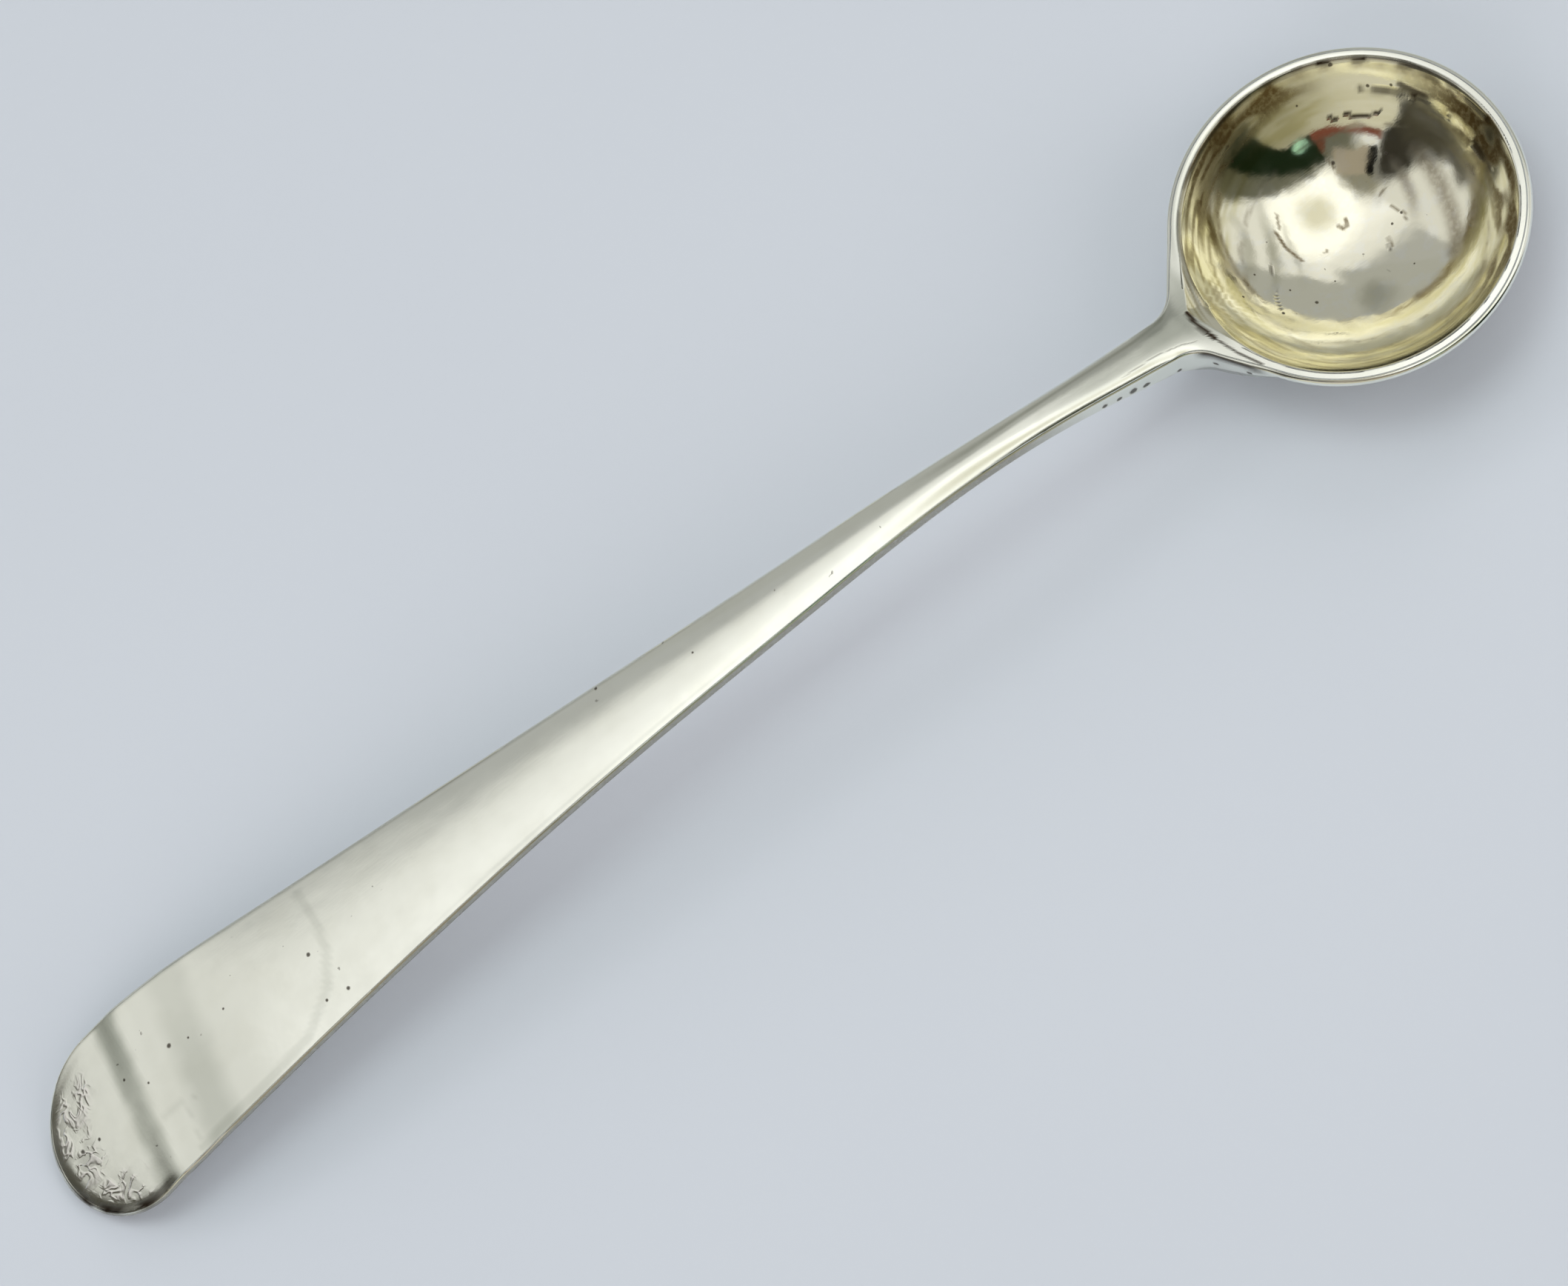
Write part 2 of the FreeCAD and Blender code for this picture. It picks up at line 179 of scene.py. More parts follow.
def hollow_edge(turn):
    """Distance of the hollow's edge from the middle of the bowl, in a direction measured from the stem."""
    half = math.acos(HOLLOW_RADIUS / POINT_BACK)
    from_point = np.sqrt((turn - POINT_TURN) ** 2 + 0.02 ** 2)
    return HOLLOW_RADIUS / np.cos(np.maximum(half - from_point, 0))


def hollow_height(back, y):
    r = np.hypot(back, y)
    r = np.minimum(r, HOLLOW_SPHERE * 0.995)
    return BOTTOM_THICKNESS + HOLLOW_SPHERE - np.sqrt(HOLLOW_SPHERE ** 2 - r ** 2)


def top_height(back, y):
    """The spoon's upper side: the crowned stem, the shoulders, the lip and the hollow."""
    back, y = np.asarray(back, float), np.asarray(y, float)
    t = np.clip(np.abs(y) / half_width(back), 0, 1)
    flatness = 2 + 1.6 * smooth_step(26.0, 17.0, back)
    plateau = stem_top(np.maximum(back, 9.0)) + crown(back) * (1 - t ** flatness)
    r = np.hypot(back, y)
    # on the near side the lip leans outward a little
    near_side = smooth_step(3.0, -3.0, y)
    lip = LIP_CROWN * (1 - near_side) * (np.clip(LIP_MIDDLE - r, 0, 1) / (LIP_WIDTH / 2)) ** 2
    tilt = LIP_TILT * near_side * smooth_step(9.3, 8.3, back)
    lip = lip + tilt * np.clip(r - HOLLOW_RADIUS, 0, LIP_WIDTH)
    # the wedge between the round hollow and its point is dished
    to_edge = np.clip(hollow_edge(np.arctan2(y, back)) - r, 0, 1)
    lip = lip + POINT_DISH * to_edge * smooth_step(9.0, 9.6, r)
    # the round edge of the end rolls over
    past_end = END_RADIUS - np.hypot(back - END_MIDDLE, y)
    end_gap = np.where(back > END_MIDDLE, past_end, half_width(back) - np.abs(y))
    roll = END_ROLL * (np.clip(END_ROLL_WIDTH - end_gap, 0, None) / END_ROLL_WIDTH) ** 2
    roll = roll * smooth_step(82.0, 88.0, back) * (0.45 + 0.55 * smooth_step(-5.2, -2.0, y))
    roll = roll * (1 - 0.5 * smooth_step(0.0, 3.0, y))
    # a low fold runs across the end, with a fainter one behind it
    fold = FOLD_HEIGHT * np.exp(-((back - 84.25 + 0.12 * y) / 0.85) ** 2)
    fold = fold + FOLD_HEIGHT * 0.35 * np.exp(-((back - 80.3 + 0.16 * y) / 0.9) ** 2)
    return soft_min(plateau - lip, hollow_height(back, y), 0.07) - roll + fold


def under_height(back, y):
    """The spoon's lower side: the rounded back of the stem, the heel and the bowl's round underside."""
    back, y = np.asarray(back, float), np.asarray(y, float)
    r = np.hypot(back, y)
    ball = outside_sphere(r)
    root_share = np.clip((SHOULDER_BACK - back) / (SHOULDER_BACK - SHOULDER_END), 0, 1)
    heel_at = np.minimum(back, SHOULDER_END)
    heel_low = outside_sphere(heel_at) - heel_proud(heel_at)
    heel_end = float(outside_sphere(np.float64(SHOULDER_END))) - HEEL_PROUD
    root_low = ROOT_BOTTOM + (heel_end - ROOT_BOTTOM) * root_share
    low = np.where(back >= SHOULDER_BACK, stem_bottom(np.maximum(back, SHOULDER_BACK)),
                   np.where(back >= SHOULDER_END, root_low, heel_low))
    half = np.where(back >= SHOULDER_END, half_width(back), heel_half(heel_at))
    side = np.where(back >= SHOULDER_END, stem_top(np.maximum(back, 9.0)) - side_depth(back),
                    np.maximum(outside_sphere(np.hypot(heel_at, half)) + 0.05, low + 0.3))
    under = low + (side - low) * (y / half) ** 2
    low_one = np.where(back > 12.0, under, soft_min(ball, under, 0.25))
    return np.maximum(low_one, 0)


# The upper side is a net of lines. In the bowl they run out from its middle like spokes, and those that
# meet the stem go on along it. At the handle's end they fan out to the round edge. The lower side is the
# same net, and a belt of rounded edges joins the two all round.
COLUMNS = 40
STEM_ROWS = 300
END_ROWS = 40
column_turn = np.linspace(-math.pi / 2, math.pi / 2, COLUMNS + 1)
column_share = np.sin(column_turn)


def bowl_outline():
    """Points along the shoulders and the rim, from the left side of the stem round to its right side."""
    arc_back = SHOULDER_BACK - (SHOULDER_BACK - SHOULDER_TURN) * np.linspace(0, 1, 24) ** 1.2
    flank_back = np.linspace(SHOULDER_TURN, SHOULDER_END, 16)[1:]
    back = np.concatenate([arc_back, flank_back])
    left = np.stack([back, flare_half(back)], -1)
    turn = np.linspace(SHOULDER_ANGLE, 2 * math.pi - SHOULDER_ANGLE, 240)[1:-1]
    rim = BOWL_RADIUS * np.stack([np.cos(turn), np.sin(turn)], -1)
    right = left[::-1] * [1, -1]
    return np.concatenate([left, rim, right])


outline = bowl_outline()
tangent = np.gradient(outline, axis=0)
tangent[0], tangent[-1] = (-1, 0), (1, 0)
tangent /= np.linalg.norm(tangent, axis=1, keepdims=True)
outward = np.stack([-tangent[:, 1], tangent[:, 0]], -1)
outward *= np.sign((outward * outline).sum(1, keepdims=True) + 1e-9)
outward[0], outward[-1] = (0, 1), (0, -1)
on_rim = smooth_step(SHOULDER_TURN, SHOULDER_END, outline[:, 0])[:, None]
edge_in = EDGE + (LIP_ROUNDING - EDGE) * on_rim
back_in = BACK_EDGE + (LIP_BACK_EDGE - BACK_EDGE) * on_rim

vertices, faces = [], []


def add_points(back, y, z):
    """Adds points and gives back their numbers in the same arrangement."""
    back, y, z = np.broadcast_arrays(back, y, z)
    start = sum(len(block) for block in vertices)
    vertices.append(np.stack([BOWL_X - back.ravel(), y.ravel(), z.ravel()], -1))
    return np.arange(start, start + back.size).reshape(back.shape)


def add_sheet(numbers, flip=False):
    """Adds the four-sided faces of a net of points."""
    a, b = numbers[:-1, :-1].ravel(), numbers[1:, :-1].ravel()
    c, d = numbers[1:, 1:].ravel(), numbers[:-1, 1:].ravel()
    quads = np.stack([a, d, c, b] if flip else [a, b, c, d], -1)
    faces.extend(quads.tolist())


def side_of_spoon(height, inset, cut_inset, inner_rings, outer_rings, flip):
    """One side of the spoon. Gives the numbers of its outermost points, all round."""
    rim_line = outline - outward * inset
    cut_half = SHOULDER_HALF - cut_inset
    column_line = np.stack([np.full(COLUMNS + 1, SHOULDER_BACK), column_share * cut_half], -1)
    rim_line[0], rim_line[-1] = column_line[-1], column_line[0]
    ends = np.concatenate([rim_line, column_line[1:-1]])
    reach, turn = np.hypot(*ends.T), np.arctan2(ends[:, 1], ends[:, 0])
    edge = hollow_edge(turn) if not flip else np.full(len(ends), HOLLOW_RADIUS)
    outer = edge[:, None] + (reach - edge)[:, None] * outer_rings
    radii = np.concatenate([edge[:, None] * inner_rings, outer], 1)
    back, y = radii * np.cos(turn)[:, None], radii * np.sin(turn)[:, None]
    spokes = add_points(back, y, height(back, y))
    closed = np.concatenate([spokes, spokes[:1]])
    add_sheet(closed, flip)
    middle = add_points(np.zeros(1), np.zeros(1), height(np.zeros(1), np.zeros(1)))[0]
    for first, second in zip(closed[:-1, 0].tolist(), closed[1:, 0].tolist()):
        faces.append([middle, first, second] if flip else [middle, second, first])
    rims = len(rim_line)
    cut = np.concatenate([spokes[rims - 1:rims, -1], spokes[rims:, -1], spokes[:1, -1]])
    row_back = SHOULDER_BACK + (END_MIDDLE - SHOULDER_BACK) * np.linspace(0, 1, STEM_ROWS + 1)[1:, None]
    y = column_share * (half_width(row_back) - cut_inset)
    back = np.broadcast_to(row_back, y.shape)
    rows = add_points(back, y, height(back, y))
    stem = np.concatenate([cut[None], rows])
    share = np.linspace(0, 1, END_ROWS + 1)[1:, None]
    end_half = float(half_width(END_MIDDLE))
    back = END_MIDDLE + share * (END_RADIUS - cut_inset) * np.cos(column_turn)[1:-1]
    y = np.broadcast_to(np.sin(column_turn)[1:-1] * (end_half - cut_inset), back.shape)
    cap = add_points(back, y, height(back, y))
    sides = stem[-1:].repeat(END_ROWS, 0)
    cap = np.concatenate([sides[:, :1], cap, sides[:, -1:]], 1)
    add_sheet(np.concatenate([stem, cap]), not flip)
    return np.concatenate([spokes[:rims, -1], stem[1:, 0], cap[-1, 1:-1], stem[:0:-1, -1]])


inner_rings = np.concatenate([np.linspace(0.05, 0.9, 56), np.linspace(0.9, 1.012, 18)[1:]])
outer_rings = 0.04 + 0.96 * np.linspace(0, 1, 16)[1:] ** 0.9
top_loop = side_of_spoon(top_height, edge_in, EDGE, inner_rings, outer_rings, False)
top_count = sum(len(block) for block in vertices)
inner_rings, outer_rings = np.linspace(0.04, 0.99, 36), np.linspace(0, 1, 9)[1:]
under_loop = side_of_spoon(under_height, back_in, BACK_EDGE, inner_rings, outer_rings, True)

# The outermost outline all round, in the same order as the two loops.
row_back = SHOULDER_BACK + (END_MIDDLE - SHOULDER_BACK) * np.linspace(0, 1, STEM_ROWS + 1)[1:]
row_half = half_width(row_back)
end_half = float(half_width(END_MIDDLE))
cap_turn = column_turn[1:-1]
loop = np.concatenate([
    outline,
    np.stack([row_back, -row_half], -1),
    np.stack([END_MIDDLE + END_RADIUS * np.cos(cap_turn), end_half * np.sin(cap_turn)], -1),
    np.stack([row_back, row_half], -1)[::-1],
])


def join_sides():
    """The belt: a rounded upper edge, an upright side and a rounded lower edge."""
    points = np.concatenate(vertices)
    top, under = points[top_loop], points[under_loop]
    out = np.stack([BOWL_X - loop[:, 0], loop[:, 1]], -1)
    gap_top = np.linalg.norm(out - top[:, :2], axis=1)
    gap_under = np.linalg.norm(out - under[:, :2], axis=1)

    def slope(height, end, gap):
        step = (end[:, :2] - out) / gap[:, None] * 0.02
        inner = end[:, :2] + step
        return (end[:, 2] - height(BOWL_X - inner[:, 0], inner[:, 1])) / 0.02

    corner_top = top[:, 2] + np.clip(slope(top_height, top, gap_top), -0.9, 0.3) * gap_top
    upper = corner_top - gap_top * 0.9
    back = loop[:, 0]
    on_lip = np.hypot(back, loop[:, 1]) < BOWL_RADIUS + 0.001
    depth = np.where(on_lip, LIP_SIDE, np.maximum(side_depth(back), 0.3))
    lower = np.minimum(corner_top - depth, upper - 0.01)
    under_slope = np.clip(slope(under_height, under, gap_under), 0, 3)
    corner_under = np.minimum(under[:, 2] + under_slope * gap_under, lower)
    lower = np.maximum(lower, corner_under)
    rounded = np.linspace(0, 1, 7)
    levels = []
    for t in rounded[1:]:
        flat = top[:, :2] * (1 - t) ** 2 + out * (2 * t * (1 - t) + t * t)
        z = top[:, 2] * (1 - t) ** 2 + corner_top * 2 * t * (1 - t) + upper * t * t
        levels.append(np.c_[flat, z])
    for t in (0.33, 0.67):
        levels.append(np.c_[out, upper + (lower - upper) * t])
    for t in rounded[:-1]:
        flat = out * ((1 - t) ** 2 + 2 * t * (1 - t)) + under[:, :2] * t * t
        z = lower * (1 - t) ** 2 + corner_under * 2 * t * (1 - t) + under[:, 2] * t * t
        levels.append(np.c_[flat, z])
    numbers = [top_loop]
    for level in levels:
        numbers.append(add_points(BOWL_X - level[:, 0], level[:, 1], level[:, 2]))
    numbers.append(under_loop)
    belt = np.stack(numbers)
    add_sheet(np.concatenate([belt, belt[:, :1]], 1))


join_sides()

# Unevenness and wear. Each mark is placed by its distance back from the middle of the bowl and by y.
place = np.concatenate(vertices)
back_of, y_of = BOWL_X - place[:, 0], place[:, 1]
r_of, turn_of = np.hypot(back_of, y_of), np.arctan2(y_of, back_of)
is_top = np.zeros(len(place), bool)
is_top[:top_count] = True


def waves(along, across, pitch, seed, count=20):
    """Random gentle bumps, about one high and deep, with the given pitch."""
    random = np.random.default_rng(seed)
    total = np.zeros(np.broadcast(along, across).shape)
    for _ in range(count):
        angle, phase = random.uniform(0, 2 * math.pi, 2)
        turns = 2 * math.pi / (pitch * random.uniform(0.8, 2.2))
        total += np.sin(turns * (along * math.cos(angle) + across * math.sin(angle)) + phase)
    return total / math.sqrt(count / 2)


def near_line(points, width, core=0.35):
    """One along a line through the given places, falling to nothing at its edges."""
    nearest = np.full(len(place), 99.0)
    for (b0, y0), (b1, y1) in zip(points, points[1:]):
        run = np.array([b1 - b0, y1 - y0])
        along = ((back_of - b0) * run[0] + (y_of - y0) * run[1]) / (run @ run)
        along = np.clip(along, 0, 1)
        gap = np.hypot(back_of - b0 - along * run[0], y_of - y0 - along * run[1])
        nearest = np.minimum(nearest, gap)
    return smooth_step(width, width * core, nearest)


in_hollow = smooth_step(0.06, -0.04, r_of - hollow_edge(turn_of)) * is_top
on_stem = smooth_step(12.0, 16.0, back_of)
relief = in_hollow * (0.003 * waves(back_of, y_of, 1.5, 1) + 0.0008 * waves(back_of, y_of, 0.55, 2))
relief += in_hollow * smooth_step(6.0, 8.0, r_of) * 0.003 * waves(r_of, turn_of * 2.5, 1.0, 3)
relief += on_stem * (0.005 * waves(back_of / 4, y_of, 2.6, 4) + 0.001 * waves(back_of / 3, y_of, 0.9, 5))
place[:, 2] += np.where(is_top, relief, 0)


def facing(turn, half):
    """One in the bowl's directions within half of the given one, measured in degrees from the stem."""
    off = (np.degrees(turn_of) - turn + 180) % 360 - 180
    return smooth_step(half, half * 0.4, np.abs(off))


rings = 0.5 + 0.5 * waves(r_of * 2.2, turn_of * 2.0, 1.0, 6)
fine_rings = 0.5 + 0.5 * waves(r_of * 4.5, turn_of * 3.0, 1.0, 8)
patches = 0.5 + 0.5 * waves(back_of, y_of, 1.3, 7)
broken = smooth_step(0.15, 0.75, patches)

# The gilding is worn off the flat middle of the bowl and lies in rings round it.
ochre = 0.15 + 0.5 * smooth_step(0.3, 0.8, rings) + 0.35 * smooth_step(0.4, 0.8, fine_rings)
ochre *= smooth_step(6.6, 7.4, r_of) * (0.6 + 0.4 * facing(60, 110) - 0.5 * facing(130, 34))
ochre *= 1 - 0.7 * facing(132, 42) * smooth_step(8.3, 8.7, r_of)
ochre += 0.35 * facing(70, 60) * smooth_step(6.8, 8.0, r_of)

# Brown tarnish: up the sides of the bowl, under the lip, in rings and in a few scratches.
brown = facing(200, 66) * smooth_step(7.3, 8.6, r_of) * smooth_step(0.25, 0.75, rings * 0.7 + patches * 0.4)
brown += facing(78, 42) * smooth_step(7.8, 8.9, r_of) * (0.35 + 0.6 * smooth_step(0.3, 0.8, rings))
under_lip = smooth_step(9.0, 9.25, r_of) * smooth_step(9.5, 9.35, r_of)
brown += facing(120, 45) * under_lip * (0.1 + 0.3 * patches)
brown += facing(40, 50) * smooth_step(7.2, 8.6, r_of) * smooth_step(0.45, 0.9, fine_rings) * 0.6
brown += facing(-60, 80) * smooth_step(7.4, 8.2, r_of) * smooth_step(0.6, 1.0, fine_rings) * 0.3
brown += 0.9 * near_line([(3.25, 3.6), (3.3, 2.6), (3.0, 1.5)], 0.14)
brown += 0.8 * near_line([(-0.45, 2.15), (-0.35, 1.85), (-0.05, 1.8), (0.1, 2.1)], 0.18)
# short scratches with dirt in them, on the bowl's flat middle
scratches = [[(-2.22, 1.0), (-2.34, 0.29), (-1.91, -0.03)], [(-2.97, 1.14), (-3.11, 0.6)],
             [(-1.72, -0.21), (-1.6, -0.82)], [(-3.41, 2.14), (-2.81, 2.03)], [(-1.57, 5.34), (-1.65, 4.74)],
             [(2.59, 4.43), (2.95, 3.7)], [(-3.3, 0.41), (-3.05, -0.4)], [(1.42, 1.27), (1.96, 1.14)]]
for scratch in scratches:
    brown += 0.7 * near_line(scratch, 0.11) * smooth_step(0.25, 0.5, patches)
# soft dark streaks on the bowl's far side, and the ragged line round its flat middle
streak = [(-4.49, 3.0), (-4.4, 1.84), (-4.12, 0.63), (-3.63, -0.45), (-2.93, -1.2)]
brown += 0.55 * near_line(streak, 0.6, 0) * smooth_step(-1.2, 1.0, y_of)
streak = [(-5.78, 2.5), (-5.86, 1.14), (-5.63, -0.32), (-5.24, -1.72), (-4.69, -3.06), (-4.01, -3.89)]
brown += 0.6 * near_line(streak, 0.85, 0)
brown += 0.35 * near_line([(-7.37, 0.66), (-7.27, -0.98), (-6.65, -2.46), (-5.66, -3.56)], 0.5, 0)
left_line = [(4.63, 6.58), (5.37, 5.84), (6.02, 4.75), (6.31, 3.75), (6.55, 2.37), (6.41, 0.9)]
brown += 0.6 * near_line(left_line, 0.22, 0)
middle_edge = 7.0 - 0.6 * np.cos(turn_of - 1.0) + 0.12 * (patches - 0.5)
brown += 0.35 * smooth_step(0.16, 0.03, np.abs(r_of - middle_edge)) * (0.3 + 0.7 * broken)
ochre = np.clip(ochre, 0, 1) * in_hollow
tarnish = np.clip(brown, 0, 1) * in_hollow

# Dirt: in the corner where the stem's flat meets the hollow, under the lip and in scratches.
dirt = near_line([(10.5, 0.66), (10.42, -0.44), (10.12, -1.5)], 0.2)
dirt += near_line([(10.12, -1.5), (9.6, -3.05), (8.95, -4.4)], 0.1) * 0.8
dirt += near_line([(-3.79, 6.34), (-4.7, 5.5), (-5.57, 5.09)], 0.11) * smooth_step(0.1, 0.4, patches)
dirt += near_line([(-3.0, 6.75), (-3.25, 6.5)], 0.13)
seam = smooth_step(0.16, 0.05, np.abs(r_of - HOLLOW_RADIUS)) * facing(95, 105)
dirt += seam * (0.4 + 0.25 * broken)
lip_line = [(-4.0, 8.6), (-6.2, 7.15), (-7.95, 5.1), (-9.05, 2.6), (-9.4, -0.6)]
dirt += near_line(lip_line, 0.14) * 0.45 * broken
dirt += near_line([(-7.0, 5.2), (-8.1, 2.9), (-8.3, 0.5), (-8.0, -2.5)], 0.2) * 0.8 * broken
dirt += near_line([(-5.2, 6.6), (-6.4, 5.4), (-7.2, 4.2)], 0.25) * 0.7 * broken
dirt += near_line([(11.06, -1.12), (11.83, -0.82), (13.3, -0.62), (15.5, -0.7)], 0.05) * 0.35
middle_scratch = near_line([(-1.49, -0.53), (-1.17, -1.35), (-0.57, -1.94)], 0.1)
dirt += middle_scratch * smooth_step(0.2, 0.5, patches) * 0.8
dirt += near_line([(4.48, 2.59), (5.03, 1.11), (5.58, 0.02), (5.79, -0.76)], 0.08) * broken * 0.7
dirt += near_line([(-3.94, 6.27), (-4.62, 5.52), (-5.5, 5.15)], 0.08) * 0.6
dirt = np.clip(dirt, 0, 1) * is_top
# Darker in the corner under the lip on the near side and round the edge of the end.
past_end = np.hypot(np.maximum(back_of - END_MIDDLE, 0), y_of)
end_gap = END_RADIUS - past_end
edge_gap = np.where(back_of > END_MIDDLE, end_gap, np.abs(half_width(back_of) - np.abs(y_of)))
near_edge = smooth_step(0.24, 0.05, edge_gap) * (y_of < 0) * (place[:, 2] > 3)
corner = near_edge * smooth_step(8.8, 9.6, back_of) * smooth_step(11.7, 11.1, back_of)
corner *= smooth_step(6.0, 6.25, place[:, 2]) * smooth_step(6.95, 6.8, place[:, 2])
dark_rim = smooth_step(0.75, 0.1, end_gap) * smooth_step(86.0, 88.5, back_of) * smooth_step(3.6, 1.0, y_of)
dark_rim *= smooth_step(0.3, 1.1, patches + 0.35)
# a dark crescent along the near edge of the end
crescent = smooth_step(0.66, 0.36, edge_gap) * smooth_step(0.0, 0.12, edge_gap)
crescent *= smooth_step(-0.6, -2.6, y_of) * smooth_step(84.9, 86.0, back_of) * (0.7 + 0.3 * patches)
# The narrow side under the face is dull and brown along the handle.
dull_side = smooth_step(0.05, 0.02, edge_gap) * smooth_step(17.0, 24.0, back_of) * ~is_top
dirt += corner * 0.9 + dark_rim * 0.4 + crescent * 0.65 + dull_side * 0.25
dirt = np.clip(dirt, 0, 1)
tarnish = np.clip(tarnish + dull_side * 0.5, 0, 1)

# The tip of the end is worn rough, in a wide patch on the far side and a narrower one on the near side.
worn = smooth_step(0.45, 0.9, end_gap) * smooth_step(86.2, 87.2, back_of)
far_part = smooth_step(3.4, 2.4, end_gap) * smooth_step(4.2, 3.0, y_of) * smooth_step(-1.6, -0.8, y_of)
near_part = smooth_step(2.7, 2.0, end_gap) * smooth_step(-0.8, -1.6, y_of)
worn *= np.maximum(far_part, near_part)
worn *= smooth_step(0.0, 0.45, patches)


def cross_band(back, lean, half):
    """One along a line across the handle that leans with y, falling softly to nothing at half its width."""
    return smooth_step(half, half * 0.25, np.abs(back_of - back + lean * y_of + 0.12 * (patches - 0.5)))


# Grey bands of painted reflection across the end: the fold's steep side, the fainter one behind it, and a
# curved one.
grey_reflection = (0.66 + 0.26 * smooth_step(-0.5, 3.0, y_of)) * cross_band(84.95, 0.12, 1.2)
grey_reflection += 0.4 * cross_band(80.4, 0.15, 1.9) * (0.5 + 0.5 * smooth_step(3.5, -1.5, y_of))
grey_reflection += 0.05 * smooth_step(76.0, 79.0, back_of)
grey_reflection *= 1 - cross_band(83.6, 0.15, 0.5)
arc_line = [(70.44, 3.44), (70.3, 1.5), (70.62, -0.4), (71.71, -2.32), (74.2, -3.96), (78.04, -4.58),
            (82.8, -4.96)]
grey_reflection += 0.22 * near_line(arc_line, 0.4)
grey_reflection += 0.16 * near_line([(84.08, -2.04), (82.34, -2.06), (81.42, -2.52)], 0.12)
grey_reflection += 0.16 * near_line([(82.34, -2.06), (82.75, -4.45)], 0.12)
# painted grey reflection on the round edge of the end, fading out toward the far side
round_edge = smooth_step(1.3, 0.3, end_gap) * smooth_step(83.0, 87.0, back_of)
grey_reflection += 0.2 * round_edge * smooth_step(3.0, 0.0, y_of)
# painted reflection: a thin grey line along the far edge, and a fainter one a little inside the near edge
grey_reflection += 0.5 * smooth_step(0.36, 0.14, edge_gap) * (y_of > 0) * smooth_step(34.0, 60.0, back_of)
inner_line = smooth_step(0.14, 0.04, np.abs(edge_gap - 0.42)) * (y_of < 0)
grey_reflection += 0.16 * inner_line * smooth_step(38.0, 44.0, back_of) * smooth_step(68.0, 60.0, back_of)
grey_reflection *= on_stem
# The neck's far half, the flat where it meets the bowl and the lip beside it get painted grey reflection as
# well.
across = y_of / half_width(np.maximum(back_of, SHOULDER_END))
neck = smooth_step(22.0, 16.0, back_of) * smooth_step(9.2, 9.8, back_of)
grey_reflection += 0.5 * neck * smooth_step(-0.75, -0.35, across) * smooth_step(1.3, 0.2, across)
root = smooth_step(14.5, 12.5, back_of) * smooth_step(9.4, 10.0, back_of)
grey_reflection += 0.4 * root * smooth_step(-0.5, 0.0, across)
beside = smooth_step(9.4, 9.6, r_of) * smooth_step(SHOULDER_END + 1.5, SHOULDER_END, back_of)
grey_reflection += 0.4 * facing(32, 45) * beside
grey_reflection = np.clip(grey_reflection, 0, 1) * is_top * (1 - in_hollow)

mesh = bpy.data.meshes.new("spoon")
mesh.from_pydata((place * MM).tolist(), [], faces)
mesh.validate()
mesh.shade_smooth()
layers = {"gilt": in_hollow, "ochre": ochre, "tarnish": tarnish, "dirt": dirt, "worn": worn * is_top,
          "grey_reflection": grey_reflection}
for name, values in layers.items():
    layer = mesh.attributes.new(name, "FLOAT", "POINT")
    layer.data.foreach_set("value", values.astype(np.float32))
spoon = bpy.data.objects.new("spoon", mesh)
bpy.context.collection.objects.link(spoon)
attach(spoon, "root")
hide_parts("salt_spoon")


class Tree:
    """Short ways to add the nodes that the materials and the light use."""

    def __init__(self, tree):
        self.nodes, self.links = tree.nodes, tree.links

    def put(self, socket, value):
        if isinstance(value, bpy.types.NodeSocket):
            self.links.new(value, socket)
        elif value is not None:
            socket.default_value = value

    def add(self, kind, **settings):
        node = self.nodes.new(kind)
        for name, value in settings.items():
            setattr(node, name, value)
        return node

    def math(self, operation, a, b=None, clamp=False):
        node = self.add("ShaderNodeMath", operation=operation, use_clamp=clamp)
        self.put(node.inputs[0], a)
        self.put(node.inputs[1], b)
        return node.outputs[0]

    def vector(self, operation, a, b=None):
        node = self.add("ShaderNodeVectorMath", operation=operation)
        self.put(node.inputs[0], a)
        self.put(node.inputs[1], b)
        return node.outputs["Value" if operation in ("DOT_PRODUCT", "DISTANCE", "LENGTH") else "Vector"]

    def ramp(self, value, low, high, start=0.0, end=1.0):
        """A smooth change from start to end while the value goes from low to high."""
        node = self.add("ShaderNodeMapRange", interpolation_type="SMOOTHSTEP")
        for number, setting in enumerate((value, low, high, start, end)):
            self.put(node.inputs[number], setting)
        return node.outputs[0]

    def product(self, *masks):
        total = masks[0]
        for mask in masks[1:]:
            total = self.math("MULTIPLY", total, mask)
        return total

    def mix(self, factor, below, above):
        node = self.add("ShaderNodeMix", data_type="RGBA")
        self.put(node.inputs["Factor"], factor)
        self.put(node.inputs[6], below if isinstance(below, bpy.types.NodeSocket) else (*below, 1))
        self.put(node.inputs[7], above if isinstance(above, bpy.types.NodeSocket) else (*above, 1))
        return node.outputs[2]

    def noise(self, vector, scale, detail=2.0, roughness=0.5, distortion=0.0):
        node = self.add("ShaderNodeTexNoise")
        self.put(node.inputs["Vector"], vector)
        for name, value in (("Scale", scale), ("Detail", detail), ("Roughness", roughness),
                            ("Distortion", distortion)):
            node.inputs[name].default_value = value
        return node.outputs["Fac"]

    def attribute(self, name):
        return self.add("ShaderNodeAttribute", attribute_name=name).outputs["Fac"]


